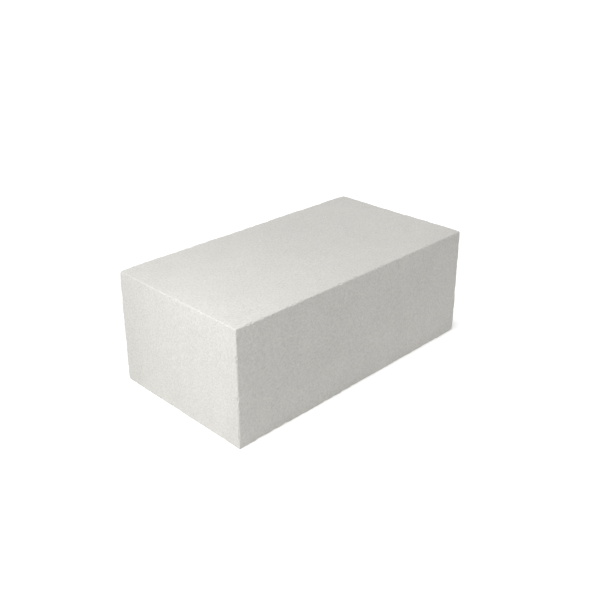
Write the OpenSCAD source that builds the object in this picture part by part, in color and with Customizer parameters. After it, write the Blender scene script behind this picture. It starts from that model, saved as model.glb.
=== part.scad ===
// Solid aerated concrete block for masonry walls, lying on its bed face.
// The origin is at the centre of the bed face, X runs along the block and +Z is up.

/* [Block] */
// Length of the block, along the wall
block_length = 600; // [300:1:700]
// Width of the block, through the wall
block_width = 320; // [100:1:400]
// Height of the block, one course less its joint
block_height = 224; // [100:1:300]

/* [Arrises] */
// Rounding of the upright arrises, where the ends meet the sides
upright_radius = 1.5; // [1:0.5:8]
// Rounding of the arrises along the sides, round both bed faces
side_radius = 1.5; // [1:0.5:8]
// Rounding of the arrises across the ends, round both bed faces
end_radius = 1.5; // [1:0.5:8]

/* [Finish] */
// Colour of the dry concrete
concrete_colour = "#dbd9d3"; // [#dbd9d3:Pale grey, #efede8:Off white, #b9b7b2:Mid grey]

/* [Hidden] */
// A true arc needs no more sides than this
$fn = 48;

// Rectangle round the origin whose corners are arcs of one radius
module rounded_outline(size, radius) {
    straight = [for (side = size) side - 2 * radius];
    square([straight[0], size[1]], center = true);
    square([size[0], straight[1]], center = true);
    for (x = [-0.5, 0.5], y = [-0.5, 0.5])
        translate([x * straight[0], y * straight[1]])
            circle(r = radius);
}

// The block's outline from above, which rounds the upright arrises
module plan_prism() {
    linear_extrude(height = block_height, center = true)
        rounded_outline([block_length, block_width], upright_radius);
}

// The outline of the end faces, which rounds the arrises along the sides
module end_prism() {
    rotate([90, 0, 90])
        linear_extrude(height = block_length, center = true)
            rounded_outline([block_width, block_height], side_radius);
}

// The outline of the long faces, which rounds the arrises across the ends
module side_prism() {
    rotate([90, 0, 0])
        linear_extrude(height = block_width, center = true)
            rounded_outline([block_length, block_height], end_radius);
}

// One cut block: what the three outlines have in common, so every corner is a three-way mitre of arcs
module block() {
    color(concrete_colour)
        translate([0, 0, block_height / 2])
            intersection() {
                plan_prism();
                end_prism();
                side_prism();
            }
}

block();
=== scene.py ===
import math

import bpy
from mathutils import Matrix, Vector


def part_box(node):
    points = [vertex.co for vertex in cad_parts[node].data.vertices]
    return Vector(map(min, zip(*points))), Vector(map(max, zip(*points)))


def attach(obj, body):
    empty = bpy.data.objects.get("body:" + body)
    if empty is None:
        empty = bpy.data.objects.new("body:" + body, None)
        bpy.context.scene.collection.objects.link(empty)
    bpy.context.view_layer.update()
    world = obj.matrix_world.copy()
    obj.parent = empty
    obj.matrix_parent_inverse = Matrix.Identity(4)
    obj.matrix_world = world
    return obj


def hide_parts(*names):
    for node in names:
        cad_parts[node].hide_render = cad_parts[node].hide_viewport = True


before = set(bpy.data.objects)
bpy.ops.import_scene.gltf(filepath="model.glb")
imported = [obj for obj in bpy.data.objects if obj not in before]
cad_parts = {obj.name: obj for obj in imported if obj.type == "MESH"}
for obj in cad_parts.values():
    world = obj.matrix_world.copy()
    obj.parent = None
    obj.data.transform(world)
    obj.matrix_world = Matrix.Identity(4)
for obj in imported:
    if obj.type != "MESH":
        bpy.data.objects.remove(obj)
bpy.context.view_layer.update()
blockLow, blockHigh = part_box("block")
blockSize = blockHigh - blockLow
blockCentre = (blockLow + blockHigh) / 2
print("frame loaded, block is", [round(side, 4) for side in blockSize], "m")


# node helpers: a value is either a plain default or another node's socket
def feed(tree, socket, value):
    if isinstance(value, bpy.types.NodeSocket):
        tree.links.new(value, socket)
    else:
        socket.default_value = value


def place(tree, kind, inputs=None, **settings):
    node = tree.nodes.new(kind)
    for name, value in settings.items():  # settings first, they decide which sockets are live
        setattr(node, name, value)
    for socket, value in (inputs or {}).items():
        feed(tree, node.inputs[socket], value)
    return node


def calc(tree, operation, *values):
    node = place(tree, "ShaderNodeMath", operation=operation)
    for socket, value in zip(node.inputs, values):
        feed(tree, socket, value)
    return node.outputs[0]


def calcVector(tree, operation, *values):
    node = place(tree, "ShaderNodeVectorMath", operation=operation)
    sockets = [node.inputs[0], node.inputs["Scale"]] if operation == "SCALE" else node.inputs
    for socket, value in zip(sockets, values):
        feed(tree, socket, value)
    return node.outputs["Value" if operation == "LENGTH" else "Vector"]


def asVector(tree, x, y, z):
    return place(tree, "ShaderNodeCombineXYZ", {"X": x, "Y": y, "Z": z}).outputs[0]


def split(tree, vector):
    return place(tree, "ShaderNodeSeparateXYZ", {"Vector": vector}).outputs


def ramp(tree, value, fromLow, fromHigh, toLow, toHigh, curve="SMOOTHSTEP"):
    node = place(tree, "ShaderNodeMapRange", interpolation_type=curve)
    for socket, number in zip(node.inputs, (value, fromLow, fromHigh, toLow, toHigh)):
        feed(tree, socket, number)
    return node.outputs["Result"]


def noise(tree, vector, size, detail, roughness=0.5):
    scale = calc(tree, "DIVIDE", 1, size)
    values = {"Vector": vector, "Scale": scale, "Detail": detail, "Roughness": roughness}
    return place(tree, "ShaderNodeTexNoise", values).outputs[0]


def swing(tree, vector, size, detail, roughness=0.5):  # noise centred on nought, about -1 to 1
    return calc(tree, "MULTIPLY_ADD", noise(tree, vector, size, detail, roughness), 2, -1)


def newTree(name, kind, inputs, outputs):
    tree = bpy.data.node_groups.new(name, kind)
    for label, socketType in inputs.items():
        tree.interface.new_socket(label, in_out="INPUT", socket_type=socketType)
    for label, socketType in outputs.items():
        tree.interface.new_socket(label, in_out="OUTPUT", socket_type=socketType)
    return tree, place(tree, "NodeGroupInput").outputs, place(tree, "NodeGroupOutput").inputs


# azimuth 0 is seen looking along +Y, -90 looking along +X
def wayTo(azimuth, elevation):
    turn, lift = math.radians(azimuth), math.radians(elevation)
    return Vector((math.sin(turn) * math.cos(lift), -math.cos(turn) * math.cos(lift), math.sin(lift)))


# camera, worked out from the photo's visible edges
cameraSetup = {
    "azimuth": -45.02,
    "elevation": 22.94,
    "distance": 1.607,  # m, to the middle of the block
    "aside": 0.0006,  # m off the line to the middle, and so is the rise
    "rise": 0.0873,
    "lens": 49.12,  # mm, and so is the sensor's width
    "sensor": 36,
    "shift": -0.07,  # of the frame: the photo is cropped lower than its optical axis
}


def makeCamera(setup):
    back = wayTo(setup["azimuth"], setup["elevation"])
    turn = (-back).to_track_quat("-Z", "Y")
    camera = bpy.data.objects.new("camera", bpy.data.cameras.new("camera"))
    camera.data.lens = setup["lens"]
    camera.data.sensor_width = setup["sensor"]
    camera.data.shift_y = setup["shift"]
    offset = turn @ Vector((setup["aside"], setup["rise"], 0))
    camera.location = blockCentre + back * setup["distance"] + offset
    camera.rotation_mode = "QUATERNION"
    camera.rotation_quaternion = turn
    bpy.context.collection.objects.link(camera)
    bpy.context.scene.camera = camera


makeCamera(cameraSetup)
print("camera placed")

# aerated concrete, sizes in m and depths as shares of the colour
concreteFinish = {
    "colour": (0.668, 0.659, 0.628),
    "cloudAndShadingSize": 0.14,  # soft patches of tone: random mottling, with painted light and shade that the lamps leave out
    "cloudAndShadingDepth": 0.056,
    "cloudAndShadingPlace": (-3.46, -6.37, -5.74),  # where in the noise the patches lie most like the photo's
    "streakSize": 0.024,  # upright streaks left by the cutting wire
    "streakStretch": 8,
    "streakDepth": 0.03,
    "grainSize": 0.0036,
    "grainDepth": 0.23,
    "grainSpan": (-0.5, 0.5),  # levels of its dents and its tops
    "poreGap": 0.0026,  # fine pores, side by side everywhere
    "poreRadius": (0.15, 0.42),  # least and most, in gaps
    "poreShare": 1,
    # how much darker the pores are: painted shade in the hollows
    "poreShade": 0.16,
    "voidGap": 0.010,  # the few larger bubbles
    "voidRadius": (0.06, 0.17),
    "voidShare": 0.4,
    # how much darker the bubbles are: painted shade in the hollows
    "voidShade": 0.2,
    "bubbleSlope": 0.6,  # share of the radius over which a bubble falls to its floor
    "arrisWearAndHighlight": 0.08,  # arrises are paler: partly pale wear, partly a painted highlight along every arris
    "brokenLift": 0.05,
    "roughness": (0.86, 0.97),  # in the dents of the grain and on its tops
    "specular": 0.25,
    "diffuseRoughness": 0.6,
    "relief": 0.0007,  # height of the grain
    "reliefStrength": 0.4,
    "poreSink": 1,  # how far the bubbles go down, in heights of the grain
    "voidSink": 2,
}


def bubbles(tree, spot, finish, kind):  # kind is pore or void
    cells = place(tree, "ShaderNodeTexVoronoi", {"Vector": spot, "Scale": 1 / finish[kind + "Gap"]})
    lot = place(tree, "ShaderNodeSeparateColor", {"Color": cells.outputs["Color"]}).outputs
    radius = ramp(tree, lot["Red"], 0, 1, *finish[kind + "Radius"], "LINEAR")
    hollow = calc(tree, "SUBTRACT", 1, calc(tree, "DIVIDE", cells.outputs["Distance"], radius))
    present = calc(tree, "LESS_THAN", lot["Green"], finish[kind + "Share"])
    return calc(tree, "MULTIPLY", ramp(tree, hollow, 0, finish["bubbleSlope"], 0, 1), present)


def meshMark(tree, name):  # a value that the mesh carries
    return place(tree, "ShaderNodeAttribute", attribute_name=name).outputs["Fac"]


def makeConcrete(finish):
    material = bpy.data.materials.new("aeratedConcrete")
    material.use_nodes = True
    tree = material.node_tree
    shader = tree.nodes["Principled BSDF"]
    spot = place(tree, "ShaderNodeTexCoord").outputs["Object"]
    shifted = calcVector(tree, "ADD", spot, finish["cloudAndShadingPlace"])
    # patches of tone, partly painted light and shade
    cloudsAndShading = swing(tree, shifted, finish["cloudAndShadingSize"], detail=3)
    drawnOut = calcVector(tree, "MULTIPLY", spot, (1, 1, 1 / finish["streakStretch"]))
    streaks = swing(tree, drawnOut, finish["streakSize"], detail=2)
    grain = swing(tree, spot, finish["grainSize"], detail=3, roughness=0.6)
    pores = bubbles(tree, spot, finish, "pore")
    voids = bubbles(tree, spot, finish, "void")
    layers = [
        (cloudsAndShading, finish["cloudAndShadingDepth"]),
        (streaks, finish["streakDepth"]),
        (grain, finish["grainDepth"]),
        # pores and bubbles are darkened: painted shade in the hollows
        (pores, -finish["poreShade"]),
        (voids, -finish["voidShade"]),
        # the pale arris line: pale wear and a painted highlight
        (meshMark(tree, "arris"), finish["arrisWearAndHighlight"]),
        (meshMark(tree, "broken"), finish["brokenLift"]),
    ]
    tone = 1
    for mask, depth in layers:
        tone = calc(tree, "MULTIPLY_ADD", mask, depth, tone)
    feed(tree, shader.inputs["Base Color"], calcVector(tree, "SCALE", finish["colour"], tone))
    roughness = ramp(tree, grain, *finish["grainSpan"], *finish["roughness"], "LINEAR")
    feed(tree, shader.inputs["Roughness"], roughness)
    shader.inputs["Specular IOR Level"].default_value = finish["specular"]
    shader.inputs["Diffuse Roughness"].default_value = finish["diffuseRoughness"]

    height = calc(tree, "MULTIPLY_ADD", pores, -finish["poreSink"], grain)
    height = calc(tree, "MULTIPLY_ADD", voids, -finish["voidSink"], height)
    bump = place(tree, "ShaderNodeBump", {
        "Strength": finish["reliefStrength"], "Distance": finish["relief"], "Height": height})
    feed(tree, shader.inputs["Normal"], bump.outputs["Normal"])
    return material


concrete = makeConcrete(concreteFinish)
print("concrete mixed")

# the block: a sawn cuboid with crumbled arrises, blunted corners and faces not quite flat, lengths in m
blockShape = {
    "Cells Along": 180,
    "Cells Across": 101,
    "Cells Up": 74,
    "Edge Band": 0.008,  # strip beside each arris where the rows crowd together
    "Edge Rows": 8,
    "Pale Band": 0.003,  # width of the paler line along each arris, of pale wear and painted highlight
    "Arris Radius": 0.0012,
    "Worn Radius": 0.004,  # where the arris has crumbled most
    "Wear Length": 0.016,
    "Wear Onset": 0.40,  # levels of the noise between which the wear grows
    "Wear Peak": 0.72,
    "Corner Reach": 0.022,
    "Low Near Corner": 0.0015,  # radius, with near and far as the camera sees them
    "Low Right Corner": 0.0035,
    "Low Left Corner": 0.004,
    "Low Far Corner": 0.005,
    "High Near Corner": 0.002,
    "High Right Corner": 0.003,
    "High Left Corner": 0.005,
    "High Far Corner": 0.0035,
    "Wave Height": 0.0009,  # hollows left by the cutting wire
    "Wave Length": 0.09,
    "Wave Crest": 0.32,  # levels of the noise between which the hollows deepen
    "Wave Trough": 0.68,
    "Chip Spacing": 0.012,
    "Chip Stray": 0.005,
    "Chip Share": 0.8,
    "Chip Least": 0.0012,  # how far a chip reaches from the sharp arris
    "Chip Most": 0.0034,
    "Chip Skew": 1.7,  # the larger, the fewer large chips
    "Chip Stretch": 2.4,
    "Chip Grit": 0.0025,  # size and depth of the roughness inside a chip
    "Chip Dent": 0.0012,
    "Chip Seed": 6,
    "Weld Distance": 0.00006,
    "Crumb Faces": 1000,  # a loose lump with fewer faces is a crumb
    "Crisp Angle": math.radians(35),  # sharper folds aren't shaded smooth
}


def insetOf(tree, half, spot):  # how far inside the cuboid a point lies, along each axis
    return calcVector(tree, "SUBTRACT", half, calcVector(tree, "ABSOLUTE", spot))


def gradedCube(tree, given, half):
    counts = [given[name] for name in ("Cells Along", "Cells Across", "Cells Up")]
    cube = place(tree, "GeometryNodeMeshCube", {"Size": given["Size"]})
    for axis, count in zip("XYZ", counts):
        feed(tree, cube.inputs["Vertices " + axis], calc(tree, "ADD", count, 1))
    spot = place(tree, "GeometryNodeInputPosition").outputs[0]
    along = calcVector(tree, "DIVIDE", spot, half)
    reach = calcVector(tree, "ABSOLUTE", along)
    rows = calc(tree, "MULTIPLY", given["Edge Rows"], 2)
    bandShare = calcVector(tree, "DIVIDE", asVector(tree, rows, rows, rows), asVector(tree, *counts))
    band = asVector(tree, *[given["Edge Band"]] * 3)
    openRows = calcVector(tree, "DIVIDE", reach, calcVector(tree, "SUBTRACT", (1, 1, 1), bandShare))
    openRows = calcVector(tree, "MULTIPLY", openRows, calcVector(tree, "SUBTRACT", half, band))
    closeRows = calcVector(tree, "DIVIDE", calcVector(tree, "SUBTRACT", (1, 1, 1), reach), bandShare)
    closeRows = calcVector(tree, "MINIMUM", closeRows, (1, 1, 1))
    closeRows = calcVector(tree, "MULTIPLY", closeRows, closeRows)  # squared, so they crowd at the arris
    closeRows = calcVector(tree, "SUBTRACT", half, calcVector(tree, "MULTIPLY", closeRows, band))
    graded = calcVector(tree, "MINIMUM", openRows, closeRows)
    graded = calcVector(tree, "MULTIPLY", graded, calcVector(tree, "SIGN", along))
    return place(tree, "GeometryNodeSetPosition", {"Geometry": cube.outputs["Mesh"], "Position": graded})


def roundedBlock(tree, given, half, cube):
    spot = place(tree, "GeometryNodeInputPosition").outputs[0]

    # stretches of each arris are worn rounder
    wear = noise(tree, spot, given["Wear Length"], detail=2)
    radii = given["Arris Radius"], given["Worn Radius"]
    radius = ramp(tree, wear, given["Wear Onset"], given["Wear Peak"], *radii)

    # the eight corners are numbered by their sides, left to right, then front to back, then up
    sides = [calc(tree, "GREATER_THAN", level, 0) for level in split(tree, spot)]
    number = calc(tree, "MULTIPLY_ADD", sides[1], 2, sides[0])
    number = calc(tree, "MULTIPLY_ADD", sides[2], 4, number)
    corners = [given[name] for name in blockShape if name.endswith("Corner")]
    blunting = place(tree, "GeometryNodeIndexSwitch", data_type="FLOAT")
    while len(blunting.index_switch_items) < len(corners):
        blunting.index_switch_items.new()
    for socket, value in zip(blunting.inputs, [number] + corners):
        feed(tree, socket, value)
    fromCorner = calcVector(tree, "LENGTH", insetOf(tree, half, spot))
    nearCorner = ramp(tree, fromCorner, 0, given["Corner Reach"], 1, 0)
    growth = calc(tree, "SUBTRACT", blunting.outputs[0], radius)
    radius = calc(tree, "MULTIPLY_ADD", nearCorner, growth, radius)

    # every point keeps the radius as its distance from the nearest point of a core inside
    core = calcVector(tree, "SUBTRACT", half, asVector(tree, radius, radius, radius))
    anchor = calcVector(tree, "MAXIMUM", spot, calcVector(tree, "SCALE", core, -1))
    anchor = calcVector(tree, "MINIMUM", anchor, core)
    outward = calcVector(tree, "NORMALIZE", calcVector(tree, "SUBTRACT", spot, anchor))
    wave = noise(tree, spot, given["Wave Length"], detail=2)
    hollow = ramp(tree, wave, given["Wave Crest"], given["Wave Trough"], 0, given["Wave Height"])
    reach = calc(tree, "SUBTRACT", radius, hollow)
    rounded = calcVector(tree, "ADD", anchor, calcVector(tree, "SCALE", outward, reach))
    return place(tree, "GeometryNodeSetPosition", {"Geometry": cube.outputs[0], "Position": rounded})


def drawLot(tree, given, turn, low=0, high=1):  # each turn draws afresh from the chips' seed
    seed = calc(tree, "ADD", given["Chip Seed"], turn)
    values = {2: low, 3: high, "Seed": seed}  # sockets 2 and 3 are the range of a plain number
    return place(tree, "FunctionNodeRandomValue", values).outputs[1]


def arrisChips(tree, given, half):
    edges = place(tree, "GeometryNodeMeshCube", {"Size": given["Size"]})
    lines = place(tree, "GeometryNodeMeshToCurve", {"Mesh": edges.outputs["Mesh"]})
    spots = place(tree, "GeometryNodeCurveToPoints",
                  {"Curve": lines.outputs[0], "Length": given["Chip Spacing"]}, mode="LENGTH")

    # a share of the spots stays, none of them in a corner, and each strays along its arris
    spot = place(tree, "GeometryNodeInputPosition").outputs[0]
    fromCorner = calcVector(tree, "LENGTH", insetOf(tree, half, spot))
    cornered = calc(tree, "LESS_THAN", fromCorner, given["Corner Reach"])
    passedOver = calc(tree, "GREATER_THAN", drawLot(tree, given, 0), given["Chip Share"])
    kept = place(tree, "GeometryNodeDeleteGeometry", {
        "Geometry": spots.outputs["Points"], "Selection": calc(tree, "MAXIMUM", cornered, passedOver)})
    stray = drawLot(tree, given, 1, calc(tree, "MULTIPLY", given["Chip Stray"], -1), given["Chip Stray"])
    offset = calcVector(tree, "SCALE", spots.outputs["Tangent"], stray)
    strewn = place(tree, "GeometryNodeSetPosition", {"Geometry": kept.outputs[0], "Offset": offset})

    # each chip is a rough ball, drawn out along the arris
    skewed = calc(tree, "POWER", drawLot(tree, given, 2), given["Chip Skew"])
    bite = ramp(tree, skewed, 0, 1, given["Chip Least"], given["Chip Most"], "LINEAR")
    size = asVector(tree, bite, bite, calc(tree, "MULTIPLY", bite, given["Chip Stretch"]))
    ball = place(tree, "GeometryNodeMeshIcoSphere", {"Radius": 1, "Subdivisions": 2})
    chips = place(tree, "GeometryNodeInstanceOnPoints", {
        "Points": strewn.outputs[0], "Instance": ball.outputs["Mesh"],
        "Rotation": spots.outputs["Rotation"], "Scale": size})
    solid = place(tree, "GeometryNodeRealizeInstances", {"Geometry": chips.outputs[0]})
    normal = place(tree, "GeometryNodeInputNormal").outputs[0]
    grit = swing(tree, spot, given["Chip Grit"], detail=1)
    dent = calc(tree, "MULTIPLY", grit, given["Chip Dent"])
    rough = place(tree, "GeometryNodeSetPosition", {
        "Geometry": solid.outputs[0], "Offset": calcVector(tree, "SCALE", normal, dent)})
    return place(tree, "GeometryNodeStoreNamedAttribute", {
        "Geometry": rough.outputs[0], "Name": "broken", "Value": 1.0}, data_type="FLOAT", domain="FACE")


# slivers left by the cuts are welded, folded flaps are trimmed, and crumbs that came loose fall away
def cleanedCuts(tree, given, chipped):
    welded = place(tree, "GeometryNodeMergeByDistance", {
        "Geometry": chipped.outputs["Mesh"], "Distance": given["Weld Distance"]}, mode="CONNECTED")
    triangles = place(tree, "GeometryNodeTriangulate", {"Mesh": welded.outputs[0]})
    neighbours = place(tree, "GeometryNodeInputMeshVertexNeighbors").outputs["Vertex Count"]
    flapTip = calc(tree, "LESS_THAN", neighbours, 3)  # only the tip of a folded flap has so few
    trimmed = place(tree, "GeometryNodeDeleteGeometry", {
        "Geometry": triangles.outputs[0], "Selection": flapTip})
    lump = place(tree, "GeometryNodeInputMeshIsland").outputs["Island Index"]
    lumpFaces = place(tree, "GeometryNodeAccumulateField", {"Value": 1, "Group ID": lump},
                      data_type="INT", domain="FACE").outputs["Total"]
    crumb = calc(tree, "LESS_THAN", lumpFaces, given["Crumb Faces"])
    return place(tree, "GeometryNodeDeleteGeometry", {
        "Geometry": trimmed.outputs[0], "Selection": crumb}, domain="FACE")


# the finish needs the distance to the nearest arris, which is the middle one of a point's three insets
def markedArrises(tree, given, half, solid):
    spot = place(tree, "GeometryNodeInputPosition").outputs[0]
    inset = split(tree, insetOf(tree, half, spot))
    larger = calc(tree, "MAXIMUM", inset["X"], inset["Y"])
    smaller = calc(tree, "MINIMUM", inset["X"], inset["Y"])
    middle = calc(tree, "MAXIMUM", smaller, calc(tree, "MINIMUM", larger, inset["Z"]))
    # the line near each arris is made paler in the finish: pale wear and painted highlight
    nearArris = ramp(tree, middle, 0, given["Pale Band"], 1, 0)
    return place(tree, "GeometryNodeStoreNamedAttribute", {
        "Geometry": solid.outputs[0], "Name": "arris", "Value": nearArris},
        data_type="FLOAT", domain="POINT")


def blockTree():
    sockets = {name: "NodeSocketInt" if isinstance(value, int) else "NodeSocketFloat"
               for name, value in blockShape.items()}
    inputs = {"Size": "NodeSocketVector", **sockets, "Material": "NodeSocketMaterial"}
    outputs = {"Mesh": "NodeSocketGeometry"}
    tree, given, result = newTree("sawnBlock", "GeometryNodeTree", inputs, outputs)
    half = calcVector(tree, "SCALE", given["Size"], 0.5)
    rounded = roundedBlock(tree, given, half, gradedCube(tree, given, half))
    blank = place(tree, "GeometryNodeTriangulate", {"Mesh": rounded.outputs[0]})  # quads cut less well
    chips = arrisChips(tree, given, half)
    chipped = place(tree, "GeometryNodeMeshBoolean", {
        "Mesh 1": blank.outputs[0], "Mesh 2": chips.outputs[0]},
        operation="DIFFERENCE", solver="MANIFOLD")
    marked = markedArrises(tree, given, half, cleanedCuts(tree, given, chipped))

    smooth = place(tree, "GeometryNodeSetShadeSmooth", {"Geometry": marked.outputs[0]})
    fold = place(tree, "GeometryNodeInputMeshEdgeAngle").outputs["Unsigned Angle"]
    sharp = calc(tree, "GREATER_THAN", fold, given["Crisp Angle"])
    crisp = place(tree, "GeometryNodeSetShadeSmooth", {
        "Geometry": smooth.outputs[0], "Selection": sharp, "Shade Smooth": False}, domain="EDGE")
    whole = place(tree, "GeometryNodeRealizeInstances", {"Geometry": crisp.outputs[0]})
    finished = place(tree, "GeometryNodeSetMaterial", {
        "Geometry": whole.outputs[0], "Material": given["Material"]})
    feed(tree, result["Mesh"], finished.outputs[0])
    return tree


def makeBlock():
    draft = bpy.data.objects.new("blockDraft", bpy.data.meshes.new("blockDraft"))
    bpy.context.collection.objects.link(draft)
    tree = blockTree()
    modifier = draft.modifiers.new("sawnBlock", "NODES")
    modifier.node_group = tree
    values = {"Size": blockSize, **blockShape, "Material": concrete}
    for item in tree.interface.items_tree:
        if item.in_out == "INPUT":
            modifier[item.identifier] = values[item.name]
    graph = bpy.context.evaluated_depsgraph_get()
    mesh = bpy.data.meshes.new_from_object(draft.evaluated_get(graph))
    mesh.name = "concreteBlock"
    mesh.transform(Matrix.Translation(blockCentre))
    bpy.data.objects.remove(draft)
    block = bpy.data.objects.new("concreteBlock", mesh)
    bpy.context.collection.objects.link(block)
    return block


block = makeBlock()
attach(block, "root")
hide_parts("block")
print("block made,", sum(len(face.vertices) - 2 for face in block.data.polygons), "triangles")

# studio: a faintly glowing white sheet, an even sky, a soft high lamp, two soft boxes by the left end
# and one behind the block, with lengths in m, powers in W and angles in degrees
white = (1, 1, 1, 1)
studio = {
    "floorSize": 30,
    "floorColour": (0.9, 0.9, 0.9, 1),
    "floorGlow": 0.276,
    "floorRoughness": 0.92,
    "floorSpecular": 0.2,
    "skyStrength": 0.345,
    "highWay": (-85, 81),  # azimuth and elevation that the lamp shines from
    "highStrength": 1.69,
    "highSpread": 15,
    "nearPlace": (-0.6, -0.14, 0.6),
    "nearAim": (-0.3, -0.12, 0.16),
    "nearSize": 0.3,
    "nearPower": 1.174,
    "lowPlace": (-0.6, -0.14, 0.2),
    "lowAim": (-0.3, -0.12, 0.16),
    "lowSize": 0.3,
    "lowPower": 0.2,
    "farPlace": (1.6, 0.5, 0.1),  # lower than the block's top, so it reaches the two far faces only
    "farAim": (0.2, 0.1, 0.1),
    "farSize": 0.25,
    "farPower": 7,
}


def makeFloor():
    half = studio["floorSize"] / 2
    corners = [(-half, -half, 0), (half, -half, 0), (half, half, 0), (-half, half, 0)]
    mesh = bpy.data.meshes.new("floor")
    mesh.from_pydata(corners, [], [(0, 1, 2, 3)])
    floor = bpy.data.objects.new("floor", mesh)
    bpy.context.collection.objects.link(floor)
    paint = bpy.data.materials.new("whiteSheet")
    paint.use_nodes = True
    shader = paint.node_tree.nodes["Principled BSDF"]
    shader.inputs["Base Color"].default_value = studio["floorColour"]
    shader.inputs["Roughness"].default_value = studio["floorRoughness"]
    shader.inputs["Specular IOR Level"].default_value = studio["floorSpecular"]
    shader.inputs["Emission Color"].default_value = white
    shader.inputs["Emission Strength"].default_value = studio["floorGlow"]
    mesh.materials.append(paint)


def makeLamp(name, kind, shineAlong):
    lamp = bpy.data.objects.new(name, bpy.data.lights.new(name, kind))
    lamp.rotation_euler = shineAlong.to_track_quat("-Z", "Y").to_euler()
    lamp.visible_camera = False
    bpy.context.collection.objects.link(lamp)
    return lamp


def makeSoftBox(name):  # its values are the studio's own, by the lamp's name
    spot, aim = Vector(studio[name + "Place"]), Vector(studio[name + "Aim"])
    lamp = makeLamp(name + "Lamp", "AREA", aim - spot)
    lamp.data.shape = "SQUARE"
    lamp.data.size = studio[name + "Size"]
    lamp.data.energy = studio[name + "Power"]
    lamp.location = spot


def makeLights():
    high = makeLamp("highLamp", "SUN", -wayTo(*studio["highWay"]))
    high.data.energy = studio["highStrength"]
    high.data.angle = math.radians(studio["highSpread"])
    for name in ("near", "low", "far"):
        makeSoftBox(name)

    world = bpy.data.worlds.new("studio")
    world.use_nodes = True
    tree = world.node_tree
    sky = tree.nodes["Background"]
    sky.inputs["Color"].default_value = white
    sky.inputs["Strength"].default_value = studio["skyStrength"]
    distance = place(tree, "ShaderNodeBackground", {"Color": white, "Strength": 1})  # past the sheet
    seen = place(tree, "ShaderNodeLightPath").outputs["Is Camera Ray"]
    both = place(tree, "ShaderNodeMixShader", {0: seen, 1: sky.outputs[0], 2: distance.outputs[0]})
    feed(tree, tree.nodes["World Output"].inputs["Surface"], both.outputs[0])
    bpy.context.scene.world = world


makeFloor()
makeLights()
bpy.context.scene.view_settings.view_transform = "Standard"
print("studio lit")
